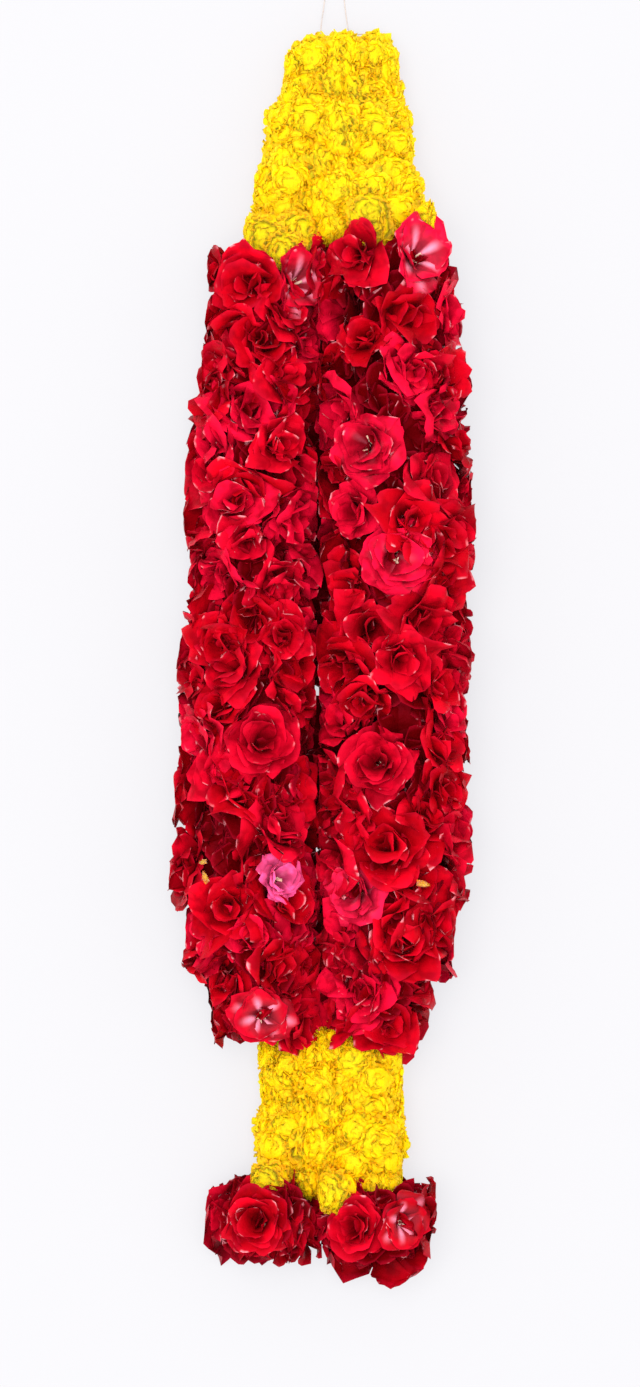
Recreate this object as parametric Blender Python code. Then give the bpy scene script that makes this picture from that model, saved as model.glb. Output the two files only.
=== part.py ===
"""A rose and marigold garland lying on a table, seen from above with its top end toward +Y.

Two strands lie side by side. Each is a stack of tiers, a tier being one ring of flower heads tied
round a cotton string: marigolds at the top, then a long run of roses, a short run of marigolds and
a tail of roses. The two strings come out of the top as thin threads and meet in a knot.
Metres, +Z up, origin on the table under the middle of the flowers.
"""

import math

import bmesh
import bpy
from mathutils import Vector

TOP_Y = 0.470  # the top end of the flowers; distances down the garland are measured from here
GAP = 0.0003  # kept between touching pieces

ROSE = "rose"
MARIGOLD = "marigold"
LOBES = {ROSE: 5, MARIGOLD: 4}  # flower heads round one tier
POINTS_PER_LOBE = 4
LOBE_DEPTH = 0.08  # of the tier's radius
# The swell of a tier: share of the way down it, share of its radius.
PROFILE = ((0.0, 0.70), (0.15, 0.91), (0.5, 1.02), (0.85, 0.91), (1.0, 0.70))
CENTRE_HEIGHT = 0.76  # of the tier's radius: the underside is pressed flat on the table

STRING_RADIUS = 0.0012
BORE_RADIUS = 0.0022
STRING_TOP = 0.006  # how far below the top of the flowers the core string ends
THREAD_RADIUS = 0.0005
THREAD_POINTS = 40  # along each thread
CURVE_STEPS = 24  # between two stops of its route, while it is measured
KNOT_RADII = Vector((0.0024, 0.0030, 0.0018))
KNOT_CENTRE = Vector((0.0055, 0.5665, KNOT_RADII.z + 0.0002))

# The line between the strands: distance down the garland, X of the line, width of the gap.
DIVIDE = (
    (0.000, 0.0190, 0.0012),
    (0.150, 0.0000, 0.0012),
    (0.250, -0.0050, 0.0020),
    (0.285, -0.0050, 0.0066),
    (0.655, -0.0055, 0.0066),
    (0.690, -0.0055, 0.0016),
    (0.780, -0.0060, 0.0012),
    (0.940, -0.0040, 0.0012),
)

# A run of tiers: name, flower, count, its start and end down the garland, and the X of the
# strand's outer edge at evenly spaced places along the run.
LEFT_RUNS = (
    ("marigold_top_left", MARIGOLD, 6, 0.000, 0.155, (-0.023, -0.034, -0.043, -0.052, -0.056)),
    ("rose_left", ROSE, 12, 0.155, 0.771, (-0.083, -0.094, -0.103, -0.104, -0.109, -0.110, -0.082)),
    ("marigold_tail_left", MARIGOLD, 4, 0.771, 0.868, (-0.047, -0.050, -0.053)),
    ("tail_rose_left", ROSE, 2, 0.868, 0.930, (-0.080, -0.088, -0.076)),
)
RIGHT_RUNS = (
    ("marigold_top_right", MARIGOLD, 5, 0.002, 0.142, (0.054, 0.057, 0.064, 0.070, 0.074)),
    ("rose_right", ROSE, 12, 0.142, 0.769, (0.093, 0.102, 0.111, 0.107, 0.104, 0.106, 0.068)),
    ("marigold_tail_right", MARIGOLD, 4, 0.769, 0.868, (0.056, 0.059, 0.062)),
    ("tail_rose_right", ROSE, 2, 0.868, 0.940, (0.080, 0.087, 0.074)),
)

# Route of each thread from the end of its core string to the knot, chosen by hand.
# X across, distance beyond the top of the flowers, height of the middle of the thread.
LEFT_THREAD = (
    (-0.0021, -0.0057, 0.0156),
    (-0.0032, 0.0020, 0.0150),
    (-0.0024, 0.0120, 0.0100),
    (-0.0013, 0.0210, 0.0036),
    (0.0006, 0.0370, 0.0007),
    (0.0027, 0.0600, 0.0006),
    (0.0038, 0.0780, 0.0010),
    (0.0045, 0.0932, 0.0020),
)
RIGHT_THREAD = (
    (0.0371, -0.0057, 0.0140),
    (0.0366, -0.0010, 0.0138),
    (0.0310, 0.0018, 0.0120),
    (0.0235, 0.0024, 0.0085),
    (0.0183, 0.0062, 0.0045),
    (0.0169, 0.0130, 0.0012),
    (0.0158, 0.0210, 0.0007),
    (0.0136, 0.0400, 0.0006),
    (0.0114, 0.0600, 0.0006),
    (0.0092, 0.0780, 0.0010),
    (0.0072, 0.0932, 0.0020),
)


def clear_scene():
    for thing in list(bpy.data.objects):
        bpy.data.objects.remove(thing, do_unlink=True)


def make_material(name, colour, roughness):
    material = bpy.data.materials.new(name)
    material.use_nodes = True
    shader = material.node_tree.nodes["Principled BSDF"]
    shader.inputs["Base Color"].default_value = (*colour, 1.0)
    shader.inputs["Roughness"].default_value = roughness
    shader.inputs["Metallic"].default_value = 0.0
    return material


def between(table, where, column):
    """The value of one column of a table, read at a place between its rows."""
    for low, high in zip(table, table[1:]):
        if where <= high[0]:
            share = max(0.0, (where - low[0]) / (high[0] - low[0]))
            return low[column] + share * (high[column] - low[column])
    return table[-1][column]


def outer_edge(run, down):
    """X of the strand's outer edge, this far down the garland."""
    start, end, edges = run[3:]
    step = (end - start) / (len(edges) - 1)
    table = tuple((start + step * i, edge) for i, edge in enumerate(edges))
    return between(table, down, 1)


def cross_section(run, side, down):
    """Centre X, centre Z and radius of a strand, this far down the garland."""
    inner = between(DIVIDE, down, 1) + side * between(DIVIDE, down, 2) / 2
    outer = outer_edge(run, down)
    radius = abs(outer - inner) / 2
    return (inner + outer) / 2, CENTRE_HEIGHT * radius, radius


def core_path(runs, side):
    """The line of the core string: one point on each face where two tiers meet, and both ends."""
    points = []
    for run in runs:
        count, start, end = run[2:5]
        for i in range(count + 1):
            down = start + (end - start) * i / count
            x, z, _ = cross_section(run, side, down)
            point = Vector((x, TOP_Y - down, z))
            if i == 0 and points:
                points[-1] = points[-1].lerp(point, 0.5)
            else:
                points.append(point)
    return points


def lobed_ring(bm, flower, turn, centre_x, centre_z, radius, y):
    """One closed ring of points with a bulge for each flower head."""
    lobes = LOBES[flower]
    count = lobes * POINTS_PER_LOBE
    ring = []
    for i in range(count):
        angle = math.tau * i / count
        reach = radius * (1 - LOBE_DEPTH + LOBE_DEPTH * math.cos(lobes * (angle - turn)))
        ring.append(bm.verts.new((
            centre_x + reach * math.cos(angle), y, centre_z + reach * math.sin(angle),
        )))
    return ring


def bore_ring(bm, count, point, y):
    ring = []
    for i in range(count):
        angle = math.tau * i / count
        ring.append(bm.verts.new((
            point.x + BORE_RADIUS * math.cos(angle), y, point.z + BORE_RADIUS * math.sin(angle),
        )))
    return ring


def bridge(bm, first, second):
    count = len(first)
    for i in range(count):
        j = (i + 1) % count
        bm.faces.new((first[i], first[j], second[j], second[i]))


def press_flat(bm):
    """Cuts the tier off at the table and closes the cut, which leaves the patch it rests on."""
    everything = bm.verts[:] + bm.edges[:] + bm.faces[:]
    bmesh.ops.bisect_plane(
        bm, geom=everything, plane_co=(0, 0, 0), plane_no=(0, 0, 1), clear_inner=True, dist=1e-7,
    )
    open_edges = [edge for edge in bm.edges if edge.is_boundary]
    bmesh.ops.holes_fill(bm, edges=open_edges, sides=0)


def make_tier(name, flower, turn, section, top, bottom, has_bore, material):
    """A ring of flower heads between two faces of the strand, with the string's bore through it."""
    centre_x, centre_z, radius = section
    y_top = top.y - GAP / 2
    y_bottom = bottom.y + GAP / 2
    bm = bmesh.new()
    rings = []
    for share, swell in PROFILE:
        y = y_top + share * (y_bottom - y_top)
        rings.append(lobed_ring(bm, flower, turn, centre_x, centre_z, radius * swell, y))
    for upper, lower in zip(rings, rings[1:]):
        bridge(bm, upper, lower)
    if has_bore:
        mouth = bore_ring(bm, len(rings[0]), top, y_top)
        foot = bore_ring(bm, len(rings[0]), bottom, y_bottom)
        bridge(bm, mouth, rings[0])
        bridge(bm, rings[-1], foot)
        bridge(bm, foot, mouth)
    else:
        bm.faces.new(rings[0][::-1])
        bm.faces.new(rings[-1])
    press_flat(bm)
    bmesh.ops.recalc_face_normals(bm, faces=bm.faces)
    mesh = bpy.data.meshes.new(name)
    bm.to_mesh(mesh)
    bm.free()
    return add_object(name, mesh, material)


def add_object(name, data, material):
    thing = bpy.data.objects.new(name, data)
    data.materials.append(material)
    bpy.context.scene.collection.objects.link(thing)
    return thing


def make_strand(runs, side, materials):
    """Every tier of one strand, from the top down. Alternate tiers turn by half a flower head."""
    path = core_path(runs, side)
    tiers = sum(run[2] for run in runs)
    placed = 0
    for run in runs:
        name, flower, count, start, end, _ = run
        for i in range(count):
            down = start + (end - start) * (i + 0.5) / count
            turn = -math.pi / 2 + math.pi / LOBES[flower] * (i % 2)
            make_tier(
                f"{name}_{i + 1:02d}", flower, turn, cross_section(run, side, down),
                path[placed], path[placed + 1], placed + 1 < tiers, materials[flower],
            )
            placed += 1
    return path


def make_tube(name, points, radius, material):
    curve = bpy.data.curves.new(name, "CURVE")
    curve.dimensions = "3D"
    curve.bevel_depth = radius
    curve.bevel_resolution = 2
    curve.use_fill_caps = True
    spline = curve.splines.new("POLY")
    spline.points.add(len(points) - 1)
    for spot, point in zip(spline.points, points):
        spot.co = (*point, 1.0)
    return add_object(name, curve, material)


def make_core_string(name, path, material):
    """The string inside the bores, from just under the top of the flowers to the last tier."""
    top = path[0].lerp(path[1], STRING_TOP / (path[0].y - path[1].y))
    foot = path[-2] + Vector((0, GAP, 0))
    return make_tube(name, [top, *path[1:-2], foot], STRING_RADIUS, material)


def smooth_line(stops, count):
    """Evenly spaced points on a smooth curve through the stops."""
    dense = []
    for i in range(len(stops) - 1):
        before = stops[max(i - 1, 0)]
        here, there = stops[i], stops[i + 1]
        after = stops[min(i + 2, len(stops) - 1)]
        for k in range(CURVE_STEPS):
            t = k / CURVE_STEPS
            dense.append(0.5 * (
                2 * here
                + (there - before) * t
                + (2 * before - 5 * here + 4 * there - after) * t ** 2
                + (3 * here - before - 3 * there + after) * t ** 3
            ))
    dense.append(stops[-1])
    lengths = [0.0]
    for a, b in zip(dense, dense[1:]):
        lengths.append(lengths[-1] + (b - a).length)
    points = []
    at = 0
    for i in range(count):
        goal = lengths[-1] * i / (count - 1)
        while at < len(dense) - 2 and lengths[at + 1] < goal:
            at += 1
        share = (goal - lengths[at]) / (lengths[at + 1] - lengths[at])
        points.append(dense[at].lerp(dense[at + 1], min(share, 1.0)))
    return points


def make_thread(name, route, material):
    stops = [Vector((x, TOP_Y + beyond, z)) for x, beyond, z in route]
    return make_tube(name, smooth_line(stops, THREAD_POINTS), THREAD_RADIUS, material)


def make_knot(material):
    bm = bmesh.new()
    bmesh.ops.create_icosphere(bm, subdivisions=2, radius=1.0)
    bmesh.ops.scale(bm, vec=KNOT_RADII, verts=bm.verts)
    bmesh.ops.translate(bm, vec=KNOT_CENTRE, verts=bm.verts)
    mesh = bpy.data.meshes.new("thread_knot")
    bm.to_mesh(mesh)
    bm.free()
    return add_object("thread_knot", mesh, material)


def build_garland():
    clear_scene()
    cotton = make_material("cotton_string", (0.52, 0.47, 0.44), 0.85)
    petals = {
        ROSE: make_material("rose_petals", (0.462, 0.0025, 0.0100), 0.5),
        MARIGOLD: make_material("marigold_petals", (0.930, 0.600, 0.0100), 0.6),
    }
    left_path = make_strand(LEFT_RUNS, -1, petals)
    right_path = make_strand(RIGHT_RUNS, 1, petals)
    make_core_string("core_string_left", left_path, cotton)
    make_core_string("core_string_right", right_path, cotton)
    make_thread("hanging_thread_left", LEFT_THREAD, cotton)
    make_thread("hanging_thread_right", RIGHT_THREAD, cotton)
    make_knot(cotton)


build_garland()
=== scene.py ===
"""A flower garland lying on a pale table: two strands of marigold and rose heads tied round string.

Every rose and marigold head is built petal by petal from a few measures, in a set of varied heads.
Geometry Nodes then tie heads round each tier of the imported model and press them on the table.
Metres, +Z up. The top of the garland points toward +Y.
"""

import math

import bpy
import numpy as np
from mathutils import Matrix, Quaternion, Vector


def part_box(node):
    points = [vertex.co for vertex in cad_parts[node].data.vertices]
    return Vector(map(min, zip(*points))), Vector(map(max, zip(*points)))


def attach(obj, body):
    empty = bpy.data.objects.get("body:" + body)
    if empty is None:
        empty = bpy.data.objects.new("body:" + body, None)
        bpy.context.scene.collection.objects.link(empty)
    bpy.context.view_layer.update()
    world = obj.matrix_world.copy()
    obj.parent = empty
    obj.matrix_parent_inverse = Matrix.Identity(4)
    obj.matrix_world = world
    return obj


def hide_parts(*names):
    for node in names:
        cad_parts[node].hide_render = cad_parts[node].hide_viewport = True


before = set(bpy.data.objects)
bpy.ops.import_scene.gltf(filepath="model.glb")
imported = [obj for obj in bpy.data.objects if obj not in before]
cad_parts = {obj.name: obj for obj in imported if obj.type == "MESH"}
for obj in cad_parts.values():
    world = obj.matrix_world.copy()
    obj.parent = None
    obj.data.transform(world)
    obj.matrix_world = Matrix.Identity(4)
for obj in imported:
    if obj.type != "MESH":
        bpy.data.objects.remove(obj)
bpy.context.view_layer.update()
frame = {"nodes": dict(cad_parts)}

# ---------------------------------------------------------------------------
# Measures, in metres and degrees
# ---------------------------------------------------------------------------

GOLDEN_ANGLE = math.radians(137.508)  # from each petal to the next round a flower
CENTRE_SHARE = 0.76  # height of a strand's middle above the table, as a share of its radius
TABLE_SKIN = 0.0002  # pressed petals stop this far above the table
PRESS_HEIGHT = 0.014  # petals lower than this bend flat along the table

PARTING = 0.003  # strands further apart than this show a dark parting between them
STRAY_PARTED = 0.003  # how far petals may stray freely past their tier: into the parting,
STRAY_TOUCHING = 0.014  # over the other strand where the two touch,
STRAY_OUTSIDE = 0.004  # past the outer side
STRAY_ABOVE = 0.004  # and above the top
SCALLOP = 0.004  # how much the outer side swells and shrinks from tier to tier,
SCALLOP_TURN = 1.9  # by this many radians of a wave for each tier,
SCALLOP_START = {"left": 0.0, "right": 1.2}  # from this place in the wave
STRAY_PULL = 0.66  # share of what is past those limits that is taken back

ROSE_SIZE = 0.030  # length of a full outer petal
MARIGOLD_SIZE = 0.0195  # radius of a marigold head
MERGED = 1.12  # how much larger the marigolds in the rings are, so that they press into one mass
SLIM_STRAND = 0.027  # a strand of a smaller radius has four marigolds to a ring, the others five

THREAD_DIAMETER = 0.001


# ---------------------------------------------------------------------------
# Mesh helpers
# ---------------------------------------------------------------------------

def smooth_step(low, high, value):
    share = np.clip((value - low) / (high - low), 0.0, 1.0)
    return share * share * (3 - 2 * share)


class FlowerMesh:
    """Gathers closed petals into one mesh, with a few numbers on every point for the materials."""

    FIELDS = ("rim", "along", "across", "tone", "kind")

    def __init__(self):
        self.points = []
        self.faces = []
        self.rims = []
        self.fields = {name: [] for name in self.FIELDS}
        self.count = 0

    def add(self, points, faces, rim_edges=(), **values):
        self.points.append(points)
        self.faces.extend(tuple(int(i) + self.count for i in face) for face in faces)
        self.rims.extend((a + self.count, b + self.count) for a, b in rim_edges)
        for name in self.FIELDS:
            self.fields[name].append(np.broadcast_to(values.get(name, 0.0), len(points)))
        self.count += len(points)

    def build(self, name):
        mesh = bpy.data.meshes.new(name)
        mesh.from_pydata(np.concatenate(self.points).tolist(), [], self.faces)
        for field, store in self.fields.items():
            layer = mesh.attributes.new(field, "FLOAT", "POINT")
            layer.data.foreach_set("value", np.concatenate(store).astype(np.float32))
        mesh.shade_smooth()
        wanted = {frozenset(pair) for pair in self.rims}
        sharp = [frozenset(edge.vertices) in wanted for edge in mesh.edges]
        mesh.attributes.new("sharp_edge", "BOOLEAN", "EDGE").data.foreach_set("value", sharp)
        return mesh


def leaf_topology(rows, columns):
    """Faces and rim edges of a thin closed leaf, whose front and back sheets share their rim."""
    front = np.arange(rows * columns).reshape(rows, columns)
    back = front.copy()
    inside = (rows - 2) * (columns - 2)
    back[1:-1, 1:-1] = rows * columns + np.arange(inside).reshape(rows - 2, columns - 2)
    faces = []
    for i in range(rows - 1):
        for j in range(columns - 1):
            faces.append((front[i, j], front[i, j + 1], front[i + 1, j + 1], front[i + 1, j]))
            faces.append((back[i, j], back[i + 1, j], back[i + 1, j + 1], back[i, j + 1]))
    loop = [*front[0, :-1], *front[:-1, -1], *front[-1, :0:-1], *front[:0:-1, 0]]
    loop = [int(i) for i in loop]
    return faces, list(zip(loop, loop[1:] + loop[:1]))


ROSE_PETAL = leaf_topology(6, 9)
BED_PETAL = leaf_topology(4, 5)
FLORET = leaf_topology(3, 5)
STAMEN = leaf_topology(3, 3)


# ---------------------------------------------------------------------------
# Petals
# ---------------------------------------------------------------------------

def petal_sheet(petal, rows, columns, rng):
    """Points of one petal of a flower that faces +Z, with how near the rim each one is.

    t runs from the petal's foot to its lip and s from its left edge to its right. The middle line
    leans out from the flower's axis and flares, and each row bends round the axis like a cup.
    """
    t, s = np.meshgrid(np.linspace(petal["start"], 1, rows), np.linspace(-1, 1, columns), indexing="ij")
    reach = t * (1 - petal["round"] * np.abs(s) ** 2.2)
    reach = reach + petal["tip"] * np.exp(-((s - petal["tip_at"]) / 0.28) ** 2) * t ** 5

    steps = np.linspace(0, 1.15, 47)
    lean = petal["lean"] + (petal["flare"] - petal["lean"]) * steps ** 1.3
    lean = lean + petal["lip"] * smooth_step(petal["lip_from"], 1.1, steps)
    middle = (lean[1:] + lean[:-1]) / 2
    stride = petal["length"] * (steps[1] - steps[0])
    out = np.concatenate([[0], np.cumsum(np.sin(middle))]) * stride
    up = np.concatenate([[0], np.cumsum(np.cos(middle))]) * stride
    angle = np.interp(reach, steps, lean)

    half = petal["width"] / 2 * (0.22 + 0.78 * np.sin(math.pi / 2 * np.clip(t / 0.72, 0, 1)) ** 1.2)
    half = half * (1 - 0.20 * smooth_step(0.70, 1.0, t))
    rim = np.maximum(smooth_step(0.45, 1.0, t), np.abs(s) ** 3 * smooth_step(0.1, 0.6, t))
    phase = rng.uniform(0, math.tau, 3)
    wave = np.sin(1.5 * math.pi * s + phase[0] + 1.5 * t) + 0.45 * np.sin(2.5 * math.pi * s + phase[1])
    wave = wave + 0.5 * np.sin(3.0 * math.pi * t + phase[2])
    lift = petal["cup"] * (1 - np.cos(s * half / petal["cup"]))
    lift = lift - petal["roll"] * half * np.abs(s) ** 3 * smooth_step(0.3, 1, t)
    lift = lift + petal["wave"] * wave * rim + petal["twist"] * s * half * t
    side = petal["cup"] * np.sin(s * half / petal["cup"])

    radius = petal["seat"] + np.interp(reach, steps, out) - lift * np.cos(angle)
    height = petal["foot"] + np.interp(reach, steps, up) + lift * np.sin(angle)
    belly = petal["thick"] * (1 - s ** 4) * (1 - (2 * t - 1) ** 4)
    cos, sin = math.cos(petal["turn"]), math.sin(petal["turn"])
    sheets = []
    for depth in (0.0, belly):
        r = radius + depth * np.cos(angle)
        level = height - depth * np.sin(angle)
        sheets.append(np.stack([r * cos - side * sin, r * sin + side * cos, level], -1))
    front, back = sheets
    points = np.concatenate([front.reshape(-1, 3), back[1:-1, 1:-1].reshape(-1, 3)])

    def both(grid):
        return np.concatenate([grid.ravel(), grid[1:-1, 1:-1].ravel()])

    return points, {"rim": both(rim), "along": both(t), "across": both(s)}


def rose_head(
    name, seed, petals, openness, youngest=0.0, flatness=0.0, ruffle=1.0, loose=1.8, heart=0.0, stamens=0,
    size=ROSE_SIZE,
):
    """A rose facing +Z with its seat at the origin: a wound heart and petals that open outward."""
    rng = np.random.default_rng(seed)
    flower = FlowerMesh()
    faces, rim_edges = ROSE_PETAL
    for i in range(petals):
        age = youngest + (1 - youngest) * i / (petals - 1)
        stray = np.clip(rng.normal(0, 1, 6), -1.3, 1.3)
        petal = {
            "start": 0.0,
            "turn": GOLDEN_ANGLE * i + 0.25 * loose * stray[0],
            "length": size * (0.64 + 0.38 * age ** 0.8) * (1 + 0.06 * loose * stray[1]),
            "width": size * (0.86 + 0.56 * age ** 0.8) * (1 + 0.06 * loose * stray[2]),
            "lean": math.radians(-4 + 46 * age ** 0.9 * openness + 8 * loose * stray[3] + 25 * flatness),
            "flare": math.radians(4 + 88 * age ** 0.7 * openness + 10 * loose * stray[4] + 22 * flatness),
            "lip": math.radians(20 + 45 * age) * rng.uniform(-0.3, 1.7),
            "lip_from": 0.62,
            "cup": size * (0.28 + 0.95 * age ** 1.1),
            "roll": 0.05 + 0.28 * age * rng.uniform(0.3, 1.2),
            "round": rng.uniform(0.32, 0.48),
            "tip": rng.uniform(-0.04, 0.03),
            "tip_at": rng.uniform(-0.35, 0.35),
            "wave": size * (0.045 + 0.065 * age) * rng.uniform(0.6, 1.5) * ruffle,
            "twist": 0.14 * loose * stray[5],
            "seat": size * (0.06 + 0.10 * age),
            "foot": size * (0.14 - 0.10 * age),
            "thick": size * 0.016,
        }
        points, fields = petal_sheet(petal, 6, 9, rng)
        flower.add(points, faces, rim_edges, tone=rng.uniform(0, 1), kind=heart, **fields)
    add_stamens(flower, stamens, size, rng)
    return flower.build(name)


def add_stamens(flower, count, size, rng):
    """Short pale threads standing in the heart of an open rose."""
    faces, rim_edges = STAMEN
    for i in range(count):
        petal = dict.fromkeys(
            ("start", "lip", "roll", "round", "tip", "tip_at", "wave", "twist", "foot"), 0.0,
        )
        petal.update(
            turn=GOLDEN_ANGLE * i, length=size * rng.uniform(0.26, 0.42), width=size * 0.075,
            lean=math.radians(rng.uniform(5, 40)), flare=math.radians(rng.uniform(20, 75)),
            lip_from=0.5, cup=size, seat=size * rng.uniform(0.02, 0.12), thick=size * 0.03,
        )
        points, fields = petal_sheet(petal, 3, 3, rng)
        flower.add(points, faces, rim_edges, tone=rng.uniform(0, 1), kind=2.0, **fields)


def rose_bed(name, seed, petals=8, size=ROSE_SIZE):
    """Crumpled petals spread flat under the heads, where the string holds them together; where they are tied
    they are painted near black, as painted shade between the heads.
    """
    rng = np.random.default_rng(seed)
    flower = FlowerMesh()
    faces, rim_edges = BED_PETAL
    for i in range(petals):
        petal = {
            "start": 0.0,
            "turn": GOLDEN_ANGLE * i,
            "length": size * rng.uniform(0.80, 1.10),
            "width": size * rng.uniform(0.90, 1.15),
            "lean": math.radians(rng.uniform(50, 80)),
            "flare": math.radians(rng.uniform(70, 110)),
            "lip": math.radians(rng.uniform(-30, 30)),
            "lip_from": 0.5,
            "cup": size * 0.9,
            "roll": 0.1,
            "round": 0.25,
            "tip": 0.0,
            "tip_at": 0.0,
            "wave": size * 0.06,
            "twist": rng.normal(0, 0.25),
            "seat": 0.0,
            "foot": 0.0,
            "thick": size * 0.02,
        }
        points, fields = petal_sheet(petal, 4, 5, rng)
        flower.add(points, faces, rim_edges, tone=rng.uniform(0, 1), **fields)
    return flower.build(name)


def marigold_head(name, seed, florets=92, size=MARIGOLD_SIZE):
    """A marigold facing +Z: ruffled florets standing close together over a little more than a dome."""
    rng = np.random.default_rng(seed)
    flower = FlowerMesh()
    faces, rim_edges = FLORET
    for i in range(florets):
        share = (i + 0.5) / florets
        lean = math.acos(1 - share * (1 - math.cos(math.radians(108)))) + rng.normal(0, 0.12)
        width = size * rng.uniform(0.38, 0.60)
        petal = {
            "start": 0.5,
            "turn": GOLDEN_ANGLE * i + rng.normal(0, 0.20),
            "length": size * rng.uniform(0.88, 1.06),
            "width": width,
            "lean": lean * 0.85,
            "flare": lean * 1.05,
            "lip": math.radians(rng.uniform(10, 105)),
            "lip_from": 0.6,
            "cup": width * rng.uniform(0.5, 1.2),
            "roll": rng.uniform(0.0, 0.6),
            "round": rng.uniform(0.05, 0.25),
            "tip": rng.uniform(-0.10, 0.03),
            "tip_at": rng.uniform(-0.3, 0.3),
            "wave": width * 0.10,
            "twist": rng.normal(0, 0.40),
            "seat": 0.0,
            "foot": 0.0,
            "thick": width * 0.06,
        }
        points, fields = petal_sheet(petal, 3, 5, rng)
        flower.add(points, faces, rim_edges, tone=rng.uniform(0, 1), **fields)
    add_cushion(flower, size * 0.87)
    return flower.build(name)


def loose_floret(name, seed, size=0.011):
    """One marigold floret that dropped, lying on its back."""
    rng = np.random.default_rng(seed)
    flower = FlowerMesh()
    petal = dict.fromkeys(("start", "round", "tip", "tip_at", "twist", "seat", "foot"), 0.0)
    petal.update(
        turn=0.0, length=size, width=size * 0.5, lean=math.radians(78), flare=math.radians(98),
        lip=0.0, lip_from=0.6, cup=size * 0.8, roll=0.1, wave=size * 0.03, thick=size * 0.03,
    )
    faces, rim_edges = FLORET
    points, fields = petal_sheet(petal, 3, 5, rng)
    flower.add(points, faces, rim_edges, tone=0.2, **fields)
    return flower.build(name)


def add_cushion(flower, radius, rings=6, sides=10):
    """The closed cushion of packed inner florets that the outer ones stand on."""
    points = [(0, 0, radius)]
    for i in range(1, rings):
        lean = math.pi * i / rings
        for k in range(sides):
            turn = math.tau * (k + 0.5 * i) / sides
            flat = radius * math.sin(lean)
            points.append((flat * math.cos(turn), flat * math.sin(turn), radius * math.cos(lean)))
    points.append((0, 0, -radius))
    faces = []
    last = len(points) - 1
    for k in range(sides):
        j = (k + 1) % sides
        faces.append((0, 1 + k, 1 + j))
        faces.append((last, last - sides + j, last - sides + k))
        for i in range(rings - 2):
            upper, lower = 1 + i * sides, 1 + (i + 1) * sides
            faces.append((upper + k, lower + k, lower + j, upper + j))
    flower.add(np.array(points), faces, along=0.5, tone=0.5)


# ---------------------------------------------------------------------------
# Materials
# ---------------------------------------------------------------------------

class Painter:
    """Short words for building a node material."""

    def __init__(self, name):
        self.material = bpy.data.materials.new(name)
        self.material.use_nodes = True
        self.tree = self.material.node_tree
        self.shader = self.tree.nodes["Principled BSDF"]

    def node(self, kind, **settings):
        made = self.tree.nodes.new(kind)
        for key, value in settings.items():
            setattr(made, key, value)
        return made

    def link(self, output, target):
        self.tree.links.new(output, target)

    def field(self, name):
        return self.node("ShaderNodeAttribute", attribute_name=name).outputs["Fac"]

    def spread(self, value, low, high, new_low, new_high):
        node = self.node("ShaderNodeMapRange", interpolation_type="SMOOTHSTEP")
        self.link(value, node.inputs["Value"])
        for key, number in zip(("From Min", "From Max", "To Min", "To Max"), (low, high, new_low, new_high)):
            node.inputs[key].default_value = number
        return node.outputs["Result"]

    def blend(self, share, first, second, mode="MIX"):
        node = self.node("ShaderNodeMix", data_type="RGBA", blend_type=mode)
        for value, target in ((share, "Factor"), (first, "A"), (second, "B")):
            socket = next(s for s in node.inputs if s.name == target and s.enabled)
            if isinstance(value, tuple):
                socket.default_value = (*value, 1.0)
            elif isinstance(value, float):
                socket.default_value = value
            else:
                self.link(value, socket)
        return next(s for s in node.outputs if s.enabled)

    def maths(self, operation, *values):
        node = self.node("ShaderNodeMath", operation=operation)
        for socket, value in zip(node.inputs, values):
            if isinstance(value, float):
                socket.default_value = value
            else:
                self.link(value, socket)
        return node.outputs["Value"]

    def height(self):
        """Height above the table, for pieces that stand at the origin."""
        place = self.node("ShaderNodeSeparateXYZ")
        self.link(self.node("ShaderNodeTexCoord").outputs["Object"], place.inputs["Vector"])
        return place.outputs["Z"]

    def noise(self, scale, detail=2.0, distortion=0.0):
        place = self.node("ShaderNodeTexCoord").outputs["Object"]
        node = self.node("ShaderNodeTexNoise")
        self.link(place, node.inputs["Vector"])
        node.inputs["Scale"].default_value = scale
        node.inputs["Detail"].default_value = detail
        node.inputs["Distortion"].default_value = distortion
        return node.outputs["Fac"]

    def bump(self, height, distance, strength):
        node = self.node("ShaderNodeBump")
        self.link(height, node.inputs["Height"])
        node.inputs["Distance"].default_value = distance
        node.inputs["Strength"].default_value = strength
        self.link(node.outputs["Normal"], self.shader.inputs["Normal"])

    def set(self, **values):
        for key, value in values.items():
            self.shader.inputs[key.replace("_", " ")].default_value = value


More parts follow.
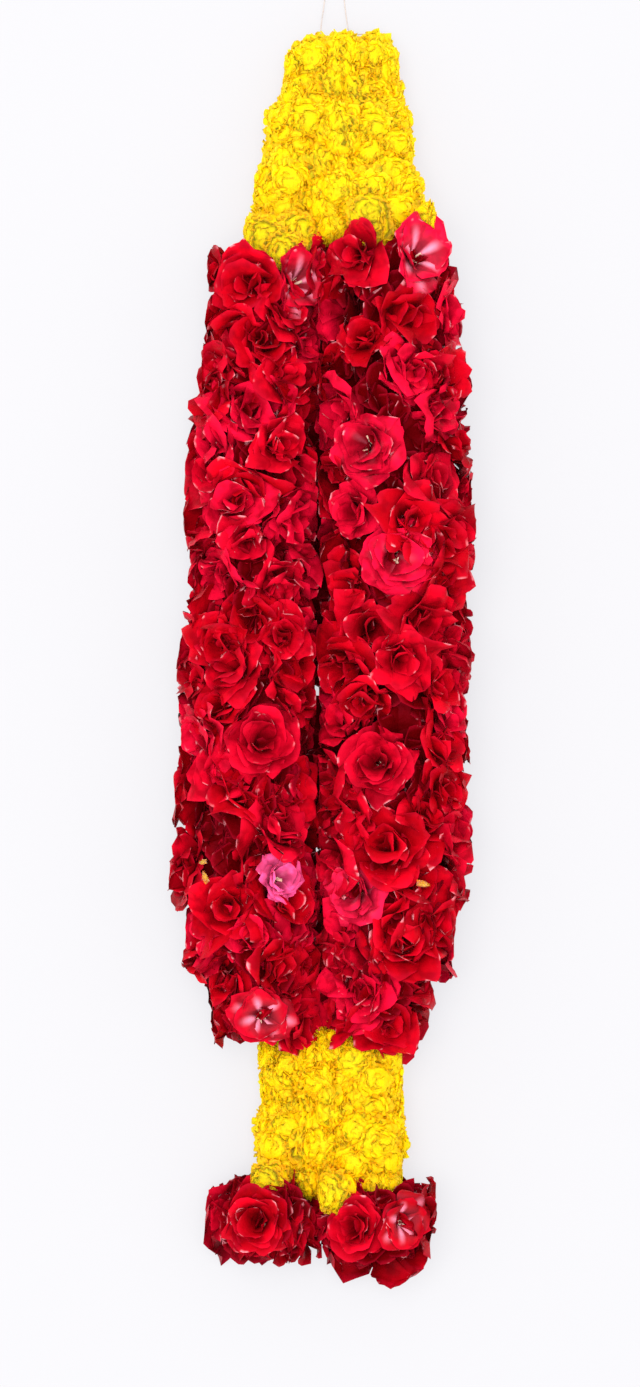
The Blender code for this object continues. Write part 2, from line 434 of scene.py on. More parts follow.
def rose_petal_material():
    paint = Painter("rose_petals")
    shade, along, rim, kind = (paint.field(name) for name in ("shade", "along", "rim", "kind"))
    colour = paint.blend(paint.field("tone"), (0.290, 0.0001, 0.0028), (0.490, 0.0004, 0.0072))
    colour = paint.blend(shade, colour, (0.65, 0.0030, 0.0320))
    colour = paint.blend(paint.spread(shade, 1.0, 2.0, 0.0, 1.0), colour, (0.92, 0.095, 0.310))
    mottle = paint.spread(paint.noise(75.0, 2.0), 0.42, 0.66, 0.0, 0.65)
    colour = paint.blend(mottle, colour, (0.145, 0.0001, 0.0022))
    # Painted shade: each petal is darker toward its foot, deep in the flower.
    foot = paint.spread(along, 0.10, 0.85, 0.70, 0.0)
    colour = paint.blend(foot, colour, (0.060, 0.0001, 0.0008))
    # Painted shade: heads with a shade below 0, such as the beds of petals, are painted near black as deep
    # shade among the others.
    deep_painted_shade = paint.spread(shade, -1.0, 0.0, 0.85, 0.0)
    colour = paint.blend(deep_painted_shade, colour, (0.06, 0.0001, 0.0006))
    # Painted shade: petals low on the strands, near the table, are painted darker.
    low = paint.spread(paint.height(), 0.008, 0.052, 0.80, 0.0)
    colour = paint.blend(low, colour, (0.05, 0.0001, 0.0005))
    middle = paint.spread(paint.maths("ABSOLUTE", paint.field("across")), 0.0, 0.30, 1.0, 0.05)
    heart = paint.maths("MULTIPLY", middle, paint.spread(along, 0.40, 0.95, 1.0, 0.0))
    heart = paint.maths("MULTIPLY", heart, kind)
    colour = paint.blend(heart, colour, (0.80, 0.23, 0.34))
    # Painted highlights: lighter rims, and pale glints on some rims, where petal edges catch the light.
    colour = paint.blend(paint.spread(rim, 0.70, 1.0, 0.0, 0.18), colour, (0.70, 0.008, 0.040))
    flecks = paint.spread(paint.noise(110.0, 1.0), 0.60, 0.72, 0.0, 1.0)
    glint = paint.maths("MULTIPLY", paint.spread(rim, 0.88, 0.99, 0.0, 0.65), flecks)
    colour = paint.blend(glint, colour, (0.76, 0.30, 0.34))
    colour = paint.blend(paint.spread(kind, 1.5, 2.0, 0.0, 1.0), colour, (0.76, 0.54, 0.40))
    paint.link(colour, paint.shader.inputs["Base Color"])
    paint.set(Roughness=0.45, Specular_IOR_Level=0.10, Sheen_Weight=0.02, Sheen_Roughness=0.4)
    paint.set(Sheen_Tint=(1.0, 0.15, 0.20, 1.0), Specular_Tint=(1.0, 0.06, 0.14, 1.0))
    paint.bump(paint.noise(260.0, 3.0), 0.0012, 0.6)
    return paint.material


def marigold_petal_material():
    paint = Painter("marigold_petals")
    colour = paint.blend(paint.field("tone"), (1.0, 0.60, 0.002), (1.0, 0.70, 0.005))
    colour = paint.blend(paint.field("shade"), colour, (0.90, 0.50, 0.001))
    # Painted shade: florets turn deeper orange toward their feet, deep in the head.
    deep = paint.spread(paint.field("along"), 0.45, 0.72, 1.0, 0.0)
    colour = paint.blend(deep, colour, (1.0, 0.44, 0.001))
    orange = paint.spread(paint.field("shade"), 1.0, 2.0, 0.0, 1.0)
    colour = paint.blend(orange, colour, (1.0, 0.31, 0.03))
    # Painted shade: small dark olive specks stand for the shade in the crevices between florets.
    crevice_painted_shade = paint.spread(paint.noise(240.0, 1.0), 0.66, 0.74, 0.0, 0.8)
    colour = paint.blend(crevice_painted_shade, colour, (0.52, 0.28, 0.0))
    paint.link(colour, paint.shader.inputs["Base Color"])
    paint.set(Roughness=0.6, Specular_IOR_Level=0.06, Subsurface_Weight=0.9, Subsurface_Scale=0.008)
    paint.set(Subsurface_Radius=(1.0, 0.8, 0.1))
    paint.bump(paint.noise(700.0, 3.0), 0.0003, 0.4)
    return paint.material


def cotton_material():
    paint = Painter("cotton_string")
    colour = paint.blend(paint.noise(900.0, 3.0), (0.32, 0.28, 0.26), (0.53, 0.48, 0.45))
    paint.link(colour, paint.shader.inputs["Base Color"])
    paint.set(Roughness=0.85, Specular_IOR_Level=0.2)
    paint.bump(paint.noise(2500.0, 2.0), 0.0001, 0.6)
    return paint.material


# ---------------------------------------------------------------------------
# Geometry Nodes: heads tied round a tier and pressed on the table
# ---------------------------------------------------------------------------

def tie_heads_tree():
    """Sets one flower head on each point of a tier, then bends what is low along the table."""
    tree = bpy.data.node_groups.new("tie_heads", "GeometryNodeTree")
    ports = tree.interface
    ports.new_socket("Geometry", in_out="OUTPUT", socket_type="NodeSocketGeometry")
    ports.new_socket("Geometry", in_out="INPUT", socket_type="NodeSocketGeometry")
    ports.new_socket("Heads", in_out="INPUT", socket_type="NodeSocketCollection")
    for name in ("Press Height", "Table Skin", "Left Limit", "Right Limit", "Top Limit", "Pull"):
        ports.new_socket(name, in_out="INPUT", socket_type="NodeSocketFloat")
    ports.new_socket("Material", in_out="INPUT", socket_type="NodeSocketMaterial")

    def node(kind, **settings):
        made = tree.nodes.new(kind)
        for key, value in settings.items():
            setattr(made, key, value)
        return made

    def link(output, target):
        tree.links.new(output, target)

    def named(name, data_type):
        made = node("GeometryNodeInputNamedAttribute", data_type=data_type)
        made.inputs["Name"].default_value = name
        return made.outputs["Attribute"]

    def maths(operation, first, second):
        made = node("ShaderNodeMath", operation=operation)
        for socket, value in zip(made.inputs, (first, second)):
            if isinstance(value, (int, float)):
                socket.default_value = value
            else:
                link(value, socket)
        return made.outputs["Value"]

    source = node("NodeGroupInput")
    heads = node("GeometryNodeCollectionInfo")
    heads.inputs["Separate Children"].default_value = True
    heads.inputs["Reset Children"].default_value = True
    link(source.outputs["Heads"], heads.inputs["Collection"])
    placed = node("GeometryNodeInstanceOnPoints")
    placed.inputs["Pick Instance"].default_value = True
    link(source.outputs["Geometry"], placed.inputs["Points"])
    link(heads.outputs["Instances"], placed.inputs["Instance"])
    link(named("head", "INT"), placed.inputs["Instance Index"])
    turn = node("FunctionNodeEulerToRotation")
    link(named("turn", "FLOAT_VECTOR"), turn.inputs["Euler"])
    link(turn.outputs["Rotation"], placed.inputs["Rotation"])
    link(named("stretch", "FLOAT_VECTOR"), placed.inputs["Scale"])
    real = node("GeometryNodeRealizeInstances")
    link(placed.outputs["Instances"], real.inputs["Geometry"])

    place = node("ShaderNodeSeparateXYZ")
    link(node("GeometryNodeInputPosition").outputs["Position"], place.inputs["Vector"])
    height, press = place.outputs["Z"], source.outputs["Press Height"]
    share = maths("DIVIDE", maths("SUBTRACT", height, press), press)
    pressed = maths("MULTIPLY", press, maths("EXPONENT", share, 0.0))
    pressed = maths("ADD", pressed, source.outputs["Table Skin"])
    low = node("FunctionNodeCompare", data_type="FLOAT", operation="LESS_THAN")
    link(height, low.inputs["A"])
    link(press, low.inputs["B"])
    laid = node("ShaderNodeCombineXYZ")
    link(place.outputs["X"], laid.inputs["X"])
    link(place.outputs["Y"], laid.inputs["Y"])
    link(pressed, laid.inputs["Z"])
    flat = node("GeometryNodeSetPosition")
    link(real.outputs["Geometry"], flat.inputs["Geometry"])
    link(low.outputs["Result"], flat.inputs["Selection"])
    link(laid.outputs["Vector"], flat.inputs["Position"])

    def stray(first, second):
        """How far to pull back what lies past a limit."""
        past = maths("MAXIMUM", maths("SUBTRACT", first, second), 0.0)
        return maths("MULTIPLY", past, source.outputs["Pull"])

    spot = node("ShaderNodeSeparateXYZ")
    link(node("GeometryNodeInputPosition").outputs["Position"], spot.inputs["Vector"])
    across, level = spot.outputs["X"], spot.outputs["Z"]
    pull = node("ShaderNodeCombineXYZ")
    right, left = stray(across, source.outputs["Right Limit"]), stray(source.outputs["Left Limit"], across)
    link(maths("SUBTRACT", left, right), pull.inputs["X"])
    link(maths("MULTIPLY", stray(level, source.outputs["Top Limit"]), -1.0), pull.inputs["Z"])
    bent = node("GeometryNodeSetPosition")
    link(flat.outputs["Geometry"], bent.inputs["Geometry"])
    link(pull.outputs["Vector"], bent.inputs["Offset"])

    painted = node("GeometryNodeSetMaterial")
    link(bent.outputs["Geometry"], painted.inputs["Geometry"])
    link(source.outputs["Material"], painted.inputs["Material"])
    link(painted.outputs["Geometry"], node("NodeGroupOutput").inputs["Geometry"])
    return tree


def socket_key(tree, name):
    return next(
        item.identifier for item in tree.interface.items_tree
        if item.name == name and item.in_out == "INPUT"
    )


def grow_tier(tree, name, heads, places, limits, material):
    """Runs the tree on one tier's points and keeps the result as a plain mesh."""
    points = bpy.data.meshes.new(name + "_points")
    points.from_pydata([place["at"] for place in places], [], [])
    for field, kind in (("head", "INT"), ("shade", "FLOAT")):
        layer = points.attributes.new(field, kind, "POINT")
        layer.data.foreach_set("value", [place[field] for place in places])
    for field in ("turn", "stretch"):
        layer = points.attributes.new(field, "FLOAT_VECTOR", "POINT")
        layer.data.foreach_set("vector", [number for place in places for number in place[field]])
    carrier = bpy.data.objects.new(name + "_carrier", points)
    bpy.context.scene.collection.objects.link(carrier)
    modifier = carrier.modifiers.new("tie_heads", "NODES")
    modifier.node_group = tree
    settings = {
        "Heads": heads, "Press Height": PRESS_HEIGHT, "Table Skin": TABLE_SKIN, "Left Limit": limits[0],
        "Right Limit": limits[1], "Top Limit": limits[2], "Pull": STRAY_PULL, "Material": material,
    }
    for key, value in settings.items():
        modifier[socket_key(tree, key)] = value
    graph = bpy.context.evaluated_depsgraph_get()
    mesh = bpy.data.meshes.new_from_object(carrier.evaluated_get(graph), depsgraph=graph)
    mesh.name = name
    bpy.data.objects.remove(carrier)
    bpy.data.meshes.remove(points)
    piece = bpy.data.objects.new(name, mesh)
    bpy.context.scene.collection.objects.link(piece)
    return piece


# ---------------------------------------------------------------------------
# The sets of heads
# ---------------------------------------------------------------------------

def head_set(name, meshes):
    """A collection of heads that only the trees see."""
    heads = bpy.data.collections.new(name)
    for mesh in meshes:
        heads.objects.link(bpy.data.objects.new(mesh.name, mesh))
    return heads


ROSES = 8  # the first of the set are tied at random, the others are chosen by name
PALE_ROSE, OPEN_ROSE, WIDE_ROSE, ROSE_BED = 8, 9, 10, 11
MARIGOLDS = 4  # whole heads, then one loose floret
LOOSE_FLORET = MARIGOLDS


def rose_heads():
    """Heads in the order of their names, which is how the tree numbers them."""
    return head_set("rose_heads", [
        rose_head("rose_00", 11, 14, 1.00, loose=2.2),
        rose_head("rose_01", 12, 15, 1.05, loose=1.8),
        rose_head("rose_02", 13, 13, 0.90, loose=2.8, ruffle=1.4),
        rose_head("rose_03", 14, 12, 1.12, loose=2.6),
        rose_head("rose_04", 15, 15, 0.95, loose=3.0, ruffle=1.5),
        rose_head("rose_05", 16, 12, 1.00, flatness=0.5, loose=2.6, ruffle=1.2),
        rose_head("rose_06", 17, 13, 1.15, loose=2.5, ruffle=1.3),
        rose_head("rose_07", 18, 13, 0.85, loose=2.4, ruffle=1.2),
        rose_head("rose_08_pale", 19, 9, 1.0, youngest=0.5, flatness=0.4, loose=1.2, heart=1.0, stamens=9),
        rose_head(
            "rose_09_open", 20, 14, 1.05, youngest=0.25, flatness=0.6, ruffle=1.1, loose=1.7, heart=0.12,
            stamens=12,
        ),
        rose_head("rose_10_wide", 21, 15, 1.10, flatness=0.4, ruffle=1.1, loose=1.9, stamens=6),
        rose_bed("rose_11_bed", 22),
    ])


def marigold_heads():
    heads = [marigold_head(f"marigold_{i}", 40 + i) for i in range(MARIGOLDS)]
    return head_set("marigold_heads", [*heads, loose_floret("marigold_loose", 50)])


# ---------------------------------------------------------------------------
# Placing the heads
# ---------------------------------------------------------------------------

def seat_head(middle, angle, depth, tilt, lean, spin, head, size, shade):
    """One head at an angle round the strand: 90 degrees faces up. depth is from the strand's middle."""
    outward = Vector((math.cos(angle), 0, math.sin(angle)))
    around = Vector((-math.sin(angle), 0, math.cos(angle)))
    facing = (outward + Vector((0, math.tan(tilt), 0)) + around * math.tan(lean)).normalized()
    turn = facing.to_track_quat("Z", "Y") @ Quaternion((0, 0, 1), spin)
    return {
        "at": middle + outward * depth, "turn": tuple(turn.to_euler()), "stretch": (size,) * 3,
        "head": head, "shade": shade,
    }


class Strand:
    """The run of tiers of one flower on one strand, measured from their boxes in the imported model."""

    def __init__(self, nodes, stretch):
        boxes = [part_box(node) for node in nodes]
        self.nodes = nodes
        self.top = boxes[0][1].y
        self.foot = boxes[-1][0].y
        self.middles = [(low.y + high.y) / 2 for low, high in boxes][::-1]
        self.across = [(low.x + high.x) / 2 for low, high in boxes][::-1]
        self.radii = [(high.x - low.x) / 2 * stretch for low, high in boxes][::-1]

    def at(self, y):
        """Middle of the strand and its radius at this place along it."""
        radius = float(np.interp(y, self.middles, self.radii))
        return Vector((float(np.interp(y, self.middles, self.across)), y, CENTRE_SHARE * radius)), radius


RINGS_PER_TIER = 2


def ring_rows(strand, clear_top, clear_foot):
    """Places along a strand for its rings of heads, evenly spaced, with the tier that each belongs to."""
    count = RINGS_PER_TIER * len(strand.nodes)
    first, last = strand.top - clear_top, strand.foot + clear_foot
    for i in range(count):
        yield i, strand.nodes[i // RINGS_PER_TIER], first + (last - first) * i / (count - 1)


# Angles of the roses round the strand, in turn from ring to ring.
ROSE_RINGS = ((90, 28, 152, -34, 214), (59, 121, -3, 183, -65, 245))
MOST_TILT = 36  # degrees that a rose may lean away from its place, either way
CLEARING = 0.012  # roses are left out this near a chosen bloom, and as much again times its size
NARROW_FOOT = 0.009  # how far the last ring is drawn in, and the ring before it half as far
BEDS = 6  # of crumpled petals round each ring
BED_INSET = 0.012  # how far the beds of the end rings lie in from their roses
# Shades of the beds: painted shade, near black between the roses, and less dark in the end rings.
BED_SHADE, END_BED_SHADE = -1.0, -0.35


def rose_places(strand, seed, chosen, clear_top, clear_foot=0.024, darken=0.0):
    """Two rings of roses for each tier over beds of petals, with the chosen blooms in place of others."""
    rng = np.random.default_rng(seed)
    places = {node: [] for node in strand.nodes}
    spots = []
    for share, angle, head, size, shade, lift in chosen:
        y = strand.top - clear_top + (strand.foot + clear_foot - strand.top + clear_top) * share
        middle, radius = strand.at(y)
        bloom = seat_head(
            middle, math.radians(angle), radius + lift - 0.60 * ROSE_SIZE * size,
            rng.normal(0, 0.1), rng.normal(0, 0.1), rng.uniform(0, math.tau), head, size, shade,
        )
        spots.append((bloom["at"], CLEARING * (1 + size)))
        tier = min(int(share * len(strand.nodes)), len(strand.nodes) - 1)
        places[strand.nodes[tier]].append(bloom)
    last = RINGS_PER_TIER * len(strand.nodes) - 1
    for i, node, y in ring_rows(strand, clear_top, clear_foot):
        toward_end = (i == 0) - (i == last)
        swell = rng.normal(0, 0.0025) - NARROW_FOOT * (i == last) - NARROW_FOOT / 2 * (i == last - 1)
        for angle in ROSE_RINGS[i % 2]:
            angle += rng.normal(0, 7)
            size = rng.uniform(0.84, 1.20)
            middle, radius = strand.at(y + rng.normal(0, 0.004))
            head = seat_head(
                middle, math.radians(angle), radius + swell - rng.uniform(0.66, 0.88) * ROSE_SIZE * size,
                math.radians(np.clip(rng.normal(10 * toward_end, 28), -MOST_TILT, MOST_TILT)),
                math.radians(np.clip(rng.normal(0, 26), -MOST_TILT, MOST_TILT)), rng.uniform(0, math.tau),
                int(rng.integers(0, ROSES)), size, float(rng.choice([0.0, 0.0, 0.1, 0.3, 0.7])) - darken,
            )
            if all((head["at"] - spot).length > reach for spot, reach in spots):
                places[node].append(head)
        for k in range(BEDS):
            middle, radius = strand.at(y + rng.normal(0, 0.003) - BED_INSET * toward_end)
            angle = 30 + 30 * (i % 2) + 60 * k + rng.normal(0, 6)
            places[node].append(seat_head(
                middle, math.radians(angle), radius - 0.90 * ROSE_SIZE,
                math.radians(rng.normal(0, 10)), math.radians(rng.normal(0, 10)), rng.uniform(0, math.tau),
                ROSE_BED, rng.uniform(0.9, 1.1), END_BED_SHADE if toward_end else BED_SHADE,
            ))
    return places


# Places along Y where the table shows between the strands.
PARTING_HOLES = (-0.026, -0.058, -0.135, -0.150)
HOLE_REACH = 0.009  # how far to either side a hole keeps the dark petals away
PARTING_STEP = 0.013  # from each bed of dark petals to the next
PARTING_END = 0.010  # how far inside the run of roses the first and the last bed lie


def parting_places(strand, partner):
    """Petals low between the strands, painted dark as shade, with a few holes left open."""
    rng = np.random.default_rng(7)
    places = []
    for y in np.arange(strand.top - PARTING_END, strand.foot + PARTING_END, -PARTING_STEP):
        if min(abs(y - hole) for hole in PARTING_HOLES) < HOLE_REACH:
            continue
        (left, left_radius), (right, right_radius) = strand.at(y), partner.at(y)
        across = (left.x + left_radius + right.x - right_radius) / 2
        places.append(seat_head(
            Vector((across, y, 0)), math.pi / 2, rng.uniform(0.008, 0.016), 0.0, 0.0,
            rng.uniform(0, math.tau), ROSE_BED, 0.6, BED_SHADE,
        ))
    return places


def marigold_places(
    strand, seed, inner, hanging, clear_top=0.017, clear_foot=0.006, shade=0.0, round_top=0.0,
):
    """Two rings of heads for each tier, and one more on the side that lies against the other strand.

    Each hanging head strays past the end of the run: its share of the way down, angle and reach.
    round_top is how much lower the first ring sits at the strand's sides than on top.
    """
    rng = np.random.default_rng(seed)
    places = {node: [] for node in strand.nodes}

    def tie(node, y, angle, reach=None):
        """One head. Without a reach from the strand's middle it is pressed into the mass of its ring."""
        size = rng.uniform(0.92, 1.08)
        middle, radius = strand.at(y)
        if reach is None:
            size *= MERGED
            reach = radius - rng.uniform(0.74, 0.94) * MARIGOLD_SIZE * size
        places[node].append(seat_head(
            middle, math.radians(angle), reach,
            math.radians(rng.normal(0, 10)), math.radians(rng.normal(0, 8)), rng.uniform(0, math.tau),
            int(rng.integers(0, MARIGOLDS)), size, shade,
        ))

    for i, node, y in ring_rows(strand, clear_top, clear_foot):
        radius = strand.at(y)[1]
        count = 5 if radius > SLIM_STRAND else 4
        start = 90 + 180 / count * i + rng.uniform(-10, 10)
        for k in range(count):
            place = y + rng.normal(0, 0.002)
            angle = start + 360 / count * k + rng.normal(0, 5)
            drop = round_top * math.cos(math.radians(angle)) ** 2 if i == 0 else 0.0
            tie(node, place - drop, angle)
        tie(node, y, inner + rng.normal(0, 6), radius - 0.20 * MARIGOLD_SIZE)
    for share, angle, reach in hanging:
        node = strand.nodes[0 if share < 0 else -1]
        tie(node, strand.top + (strand.foot - strand.top) * share, angle, reach)
    return places


def fleck_places(strand, flecks):
    """Loose florets lying on the roses of a strand."""
    places = []
    for i, (y, angle, size) in enumerate(flecks):
        middle, radius = strand.at(y)
        places.append(seat_head(
            middle, math.radians(angle), radius + FLECK_LIFT,
            tilt=0.2, lean=0.1, spin=0.9 + i, head=LOOSE_FLORET, size=size, shade=2.0,
        ))
    return places


# Blooms chosen one by one: share of the way down the run, angle round the strand, head, size, shade, lift.
# A shade of -1 is painted shade, near black deep among the others; 0 to 1 runs from the deeper to the
# lighter colour, and 2 is pink or orange.
CHOSEN = {
    "rose_left": (
        (0.000, 38, PALE_ROSE, 0.95, 0.5, 0.0),
        (-0.030, 12, 0, 1.00, 0.2, 0.0),
        (-0.024, 174, 1, 0.82, 0.0, -0.002),
        (0.620, 72, WIDE_ROSE, 1.15, 0.3, 0.0),
        (0.800, 62, OPEN_ROSE, 0.68, 2.0, 0.006),
        (0.805, 176, 3, 1.00, 0.1, 0.0),
        (0.765, 168, 5, 0.90, 0.1, -0.004),
        (0.985, 88, PALE_ROSE, 0.85, 0.2, 0.0),
        (1.000, 168, 7, 0.90, 0.0, -0.006),
        (1.000, 28, 7, 0.95, 0.1, -0.005),
    ),
    "rose_right": (
        (0.010, 58, PALE_ROSE, 1.00, 1.0, 0.0),
        (0.004, 126, 3, 0.95, 0.1, -0.002),
        (0.255, 118, OPEN_ROSE, 1.00, 0.8, 0.0),
        (0.335, 132, WIDE_ROSE, 0.85, 0.6, 0.0),
        (0.395, 94, OPEN_ROSE, 1.10, 0.9, 0.0),
        (0.665, 106, WIDE_ROSE, 1.10, 0.3, 0.0),
        (0.825, 128, OPEN_ROSE, 0.90, 1.15, 0.0),
    ),
    "tail_rose_left": ((0.45, 100, WIDE_ROSE, 1.00, -0.2, 0.0),),
    "tail_rose_right": ((0.40, 116, WIDE_ROSE, 0.95, 0.1, 0.0), (0.20, 60, PALE_ROSE, 0.80, 0.0, 0.0)),
}

# Marigolds that hang past the end of their run: share of the way down, angle round the strand, reach.
HANGING = {
    "marigold_top_left": (
        (1.09, 94, 0.046), (1.02, 130, 0.040), (1.02, 112, 0.038), (1.00, 80, 0.032), (0.98, 10, 0.024),
    ),
    "marigold_top_right": ((1.05, 30, 0.050), (1.00, 100, 0.032), (1.04, 150, 0.032), (1.07, 92, 0.030)),
    "marigold_tail_left": ((-0.10, 40, 0.024), (0.98, 115, 0.034)),
    "marigold_tail_right": ((-0.05, 140, 0.022), (1.03, 125, 0.036), (1.50, -20, 0.030)),
}

ROUND_TOP = {"left": 0.012, "right": 0.004}

# How far below the top of the run the first ring of roses is tied.
LOWERED = {"left": 0.038, "right": 0.028}

# Each run's radius as a share of its solids' half width, since petals stand a little proud of them.
FULLNESS = {"marigold_top": 1.10, "marigold_tail": 1.12, "rose": 1.05, "tail_rose": 1.03}

FLECK_LIFT = 0.004  # how far above the strand's radius the loose florets lie

# Florets that dropped among the roses: place along Y, angle round the strand, size.
FLECKS = {
    "left": ((-0.160, 124, 1.0), (-0.154, 128, 0.8)),
    "right": ((-0.170, 64, 1.0),),
}

# Tiers whose outer side strays less far than the others.
DRAWN_IN = {
    "rose_left_12": 0.006, "rose_right_12": 0.004, "tail_rose_left_02": 0.004, "tail_rose_right_02": 0.008,
}

NO_LIMITS = (-1.0, 1.0, 1.0)  # wider and higher than the whole garland, so nothing is pulled back


def run_of(flower, side):
    """The run of this flower's tiers on one side, from the top down."""
    nodes = sorted(node for node in frame["nodes"] if node.startswith(f"{flower}_{side}"))
    return Strand(nodes, FULLNESS[flower])


def tier_limits(node):
    """How far a tier's petals may stray freely: to the left, to the right and upward."""
    low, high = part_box(node)
    side, other = ("left", "right") if "left" in node else ("right", "left")
    partner = node.replace(side, other)
    parting = 0.0
    if partner in frame["nodes"]:
        other_low, other_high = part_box(partner)
        parting = other_low.x - high.x if side == "left" else low.x - other_high.x
    inner = STRAY_PARTED if parting > PARTING else STRAY_TOUCHING
    outside = STRAY_OUTSIDE + SCALLOP * math.cos(SCALLOP_TURN * int(node[-2:]) + SCALLOP_START[side])
    outside -= DRAWN_IN.get(node, 0.0)
    left, right = (outside, inner) if side == "left" else (inner, outside)
    return low.x - left, high.x + right, high.z + STRAY_ABOVE


def keep_piece(piece, slot, *nodes):
    """Fixes a piece to the garland, in place of the nodes that it stands for, if any."""
    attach(piece, "root")
    if nodes:
        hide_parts(*nodes)


# Each side, the angle of its strand that faces the other strand, and the first of its seeds.
SIDES = (("left", 30, 100), ("right", 150, 200))


def dress_strands():
    """Every flower of the garland: the petals low in the parting, the loose florets, then tier by tier."""
    tree = tie_heads_tree()
    roses, marigolds = rose_heads(), marigold_heads()
    rose_material, marigold_material = rose_petal_material(), marigold_petal_material()
    runs = []
    dark = parting_places(run_of("rose", "left"), run_of("rose", "right"))
    piece = grow_tier(tree, "parting_petals", roses, dark, NO_LIMITS, rose_material)
    keep_piece(piece, "rose_petals")
    for side, inner, seed in SIDES:
        long = run_of("rose", side)
        for places in (
            marigold_places(
                run_of("marigold_top", side), seed + 1, inner, HANGING["marigold_top_" + side],
                round_top=ROUND_TOP[side],
            ),
            marigold_places(
                run_of("marigold_tail", side), seed + 3, inner, HANGING["marigold_tail_" + side],
                clear_top=0.004, clear_foot=0.004, shade=0.5,
            ),
        ):
            runs.append((places, marigolds, marigold_material, "marigold_petals"))
        for places in (
            rose_places(long, seed + 2, CHOSEN["rose_" + side], LOWERED[side]),
            rose_places(
                run_of("tail_rose", side), seed + 4, CHOSEN["tail_rose_" + side],
                clear_top=0.020, clear_foot=0.031, darken=0.35,
            ),
        ):
            runs.append((places, roses, rose_material, "rose_petals"))
        flecks = fleck_places(long, FLECKS[side])
        piece = grow_tier(tree, "loose_florets_" + side, marigolds, flecks, NO_LIMITS, marigold_material)
        keep_piece(piece, "marigold_petals")
    for places, heads, material, slot in runs:
        for node in places:
            piece = grow_tier(tree, node + "_heads", heads, places[node], tier_limits(node), material)
            keep_piece(piece, slot, node)


# ---------------------------------------------------------------------------
# Threads, strings and knot
# ---------------------------------------------------------------------------

TOP_Y = 0.470  # the top end of the flowers

# Route of each thread from the end of its core string to the knot.
# X across, distance beyond the top of the flowers, height of the middle of the thread.
LEFT_THREAD = (
    (-0.0021, -0.0057, 0.0156),
    (-0.0032, 0.0020, 0.0150),
    (-0.0024, 0.0120, 0.0100),
    (-0.0013, 0.0210, 0.0036),
    (0.0006, 0.0370, 0.0007),
    (0.0027, 0.0600, 0.0006),
    (0.0038, 0.0780, 0.0010),
    (0.0045, 0.0932, 0.0020),
)
RIGHT_THREAD = (
    (0.0371, -0.0057, 0.0140),
    (0.0366, -0.0010, 0.0138),
    (0.0310, 0.0018, 0.0120),
    (0.0235, 0.0024, 0.0085),
    (0.0183, 0.0062, 0.0045),
    (0.0169, 0.0130, 0.0012),
    (0.0158, 0.0210, 0.0007),
    (0.0136, 0.0400, 0.0006),
    (0.0114, 0.0600, 0.0006),
    (0.0092, 0.0780, 0.0010),
    (0.0072, 0.0932, 0.0020),
)


def smooth_line(stops, per_stop=10):
    """Points on a smooth curve through the stops."""
    points = []
    for i in range(len(stops) - 1):
        before, here = stops[max(i - 1, 0)], stops[i]
        there, after = stops[i + 1], stops[min(i + 2, len(stops) - 1)]
        for k in range(per_stop):
            t = k / per_stop
            points.append(0.5 * (
                2 * here + (there - before) * t
                + (2 * before - 5 * here + 4 * there - after) * t ** 2
                + (3 * here - before - 3 * there + after) * t ** 3
            ))
    return points + [stops[-1]]


def lay_thread(name, node, route, material):
    """A round thread along its route, tied at the knot."""
    points = smooth_line([Vector((x, TOP_Y + beyond, z)) for x, beyond, z in route])
    curve = bpy.data.curves.new(name, "CURVE")
    curve.dimensions = "3D"
    curve.bevel_depth = THREAD_DIAMETER / 2
    curve.bevel_resolution = 3
    curve.use_fill_caps = True
    spline = curve.splines.new("POLY")
    spline.points.add(len(points) - 1)
    for spot, point in zip(spline.points, points):
        spot.co = (*point, 1.0)
    curve.materials.append(material)
    thread = bpy.data.objects.new(name, curve)
    bpy.context.scene.collection.objects.link(thread)
    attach(thread, "root")
    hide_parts(node)


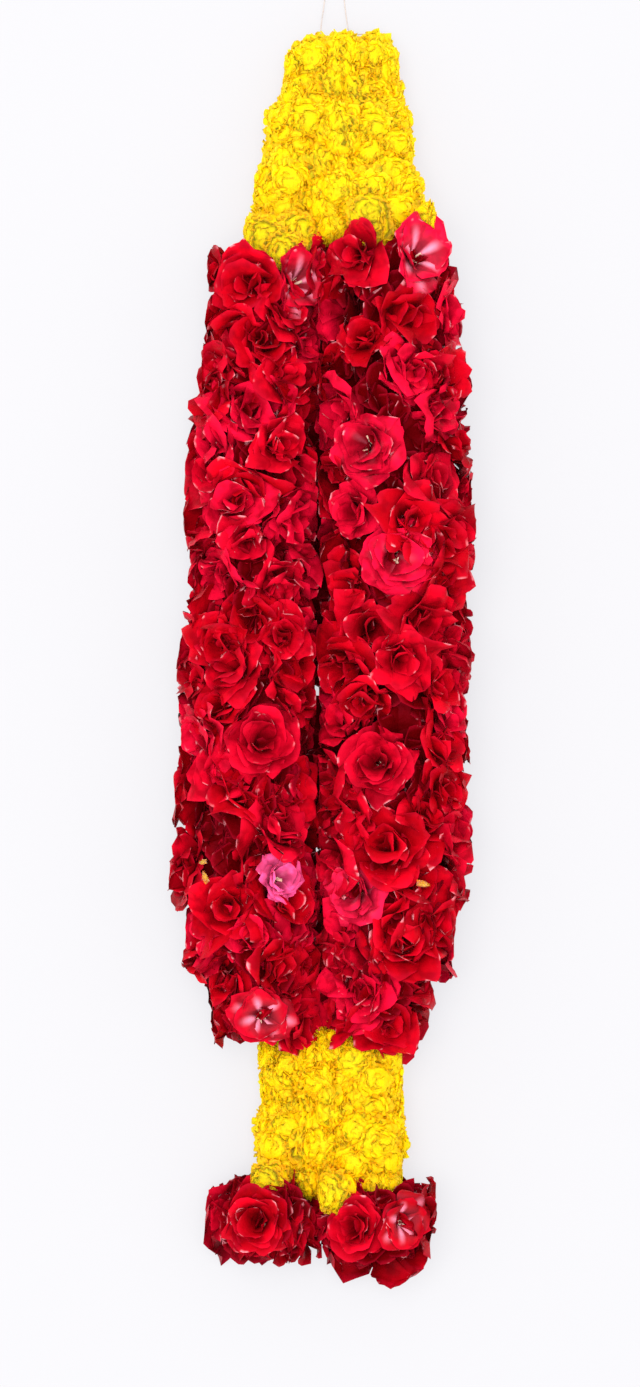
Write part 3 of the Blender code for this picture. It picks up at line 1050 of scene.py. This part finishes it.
def lay_strings():
    """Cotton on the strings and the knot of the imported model, and both threads."""
    material = cotton_material()
    nodes = frame["nodes"]
    for name in ("core_string_left", "core_string_right", "thread_knot"):
        nodes[name].data.materials.clear()
        nodes[name].data.materials.append(material)
    lay_thread("thread_left", "hanging_thread_left", LEFT_THREAD, material)
    lay_thread("thread_right", "hanging_thread_right", RIGHT_THREAD, material)


# ---------------------------------------------------------------------------
# Table, light and camera
# ---------------------------------------------------------------------------

def add_table():
    mesh = bpy.data.meshes.new("table_top")
    reach = 4.0
    corners = [(-reach, -reach, 0), (reach, -reach, 0), (reach, reach, 0), (-reach, reach, 0)]
    mesh.from_pydata(corners, [], [(0, 1, 2, 3)])
    paint = Painter("table_white")
    paint.set(Base_Color=(0.12, 0.12, 0.12, 1.0), Roughness=0.9, Specular_IOR_Level=0.1)
    paint.set(Emission_Color=(0.97, 0.96, 1.0, 1.0), Emission_Strength=0.69)
    mesh.materials.append(paint.material)
    table = bpy.data.objects.new("table_top", mesh)
    bpy.context.scene.collection.objects.link(table)


def add_softbox(name, place, size, power):
    light = bpy.data.lights.new(name, "AREA")
    light.shape = "RECTANGLE"
    light.size, light.size_y = size
    light.energy = power
    lamp = bpy.data.objects.new(name, light)
    lamp.location = place
    lamp.rotation_euler = (-Vector(place)).to_track_quat("-Z", "Y").to_euler()
    bpy.context.scene.collection.objects.link(lamp)


def add_light():
    add_softbox("key", (-0.5, 0.3, 4.8), (3.4, 3.4), 258.0)
    world = bpy.data.worlds.new("studio")
    world.use_nodes = True
    background = world.node_tree.nodes["Background"]
    background.inputs["Color"].default_value = (1.0, 1.0, 1.0, 1.0)
    background.inputs["Strength"].default_value = 1.55
    bpy.context.scene.world = world
    bpy.context.scene.view_settings.view_transform = "Standard"


def add_camera():
    """Looks straight down, with the thread end of the garland up."""
    view_height = 1.040
    distance = 2.60
    camera = bpy.data.cameras.new("camera")
    camera.sensor_width = 36.0
    mid_height = 0.045
    camera.lens = camera.sensor_width * (distance - mid_height) / view_height
    holder = bpy.data.objects.new("camera", camera)
    holder.location = (-0.0037, -0.029, distance)
    bpy.context.scene.collection.objects.link(holder)
    bpy.context.scene.camera = holder


add_camera()
lay_strings()
dress_strands()
add_table()
add_light()
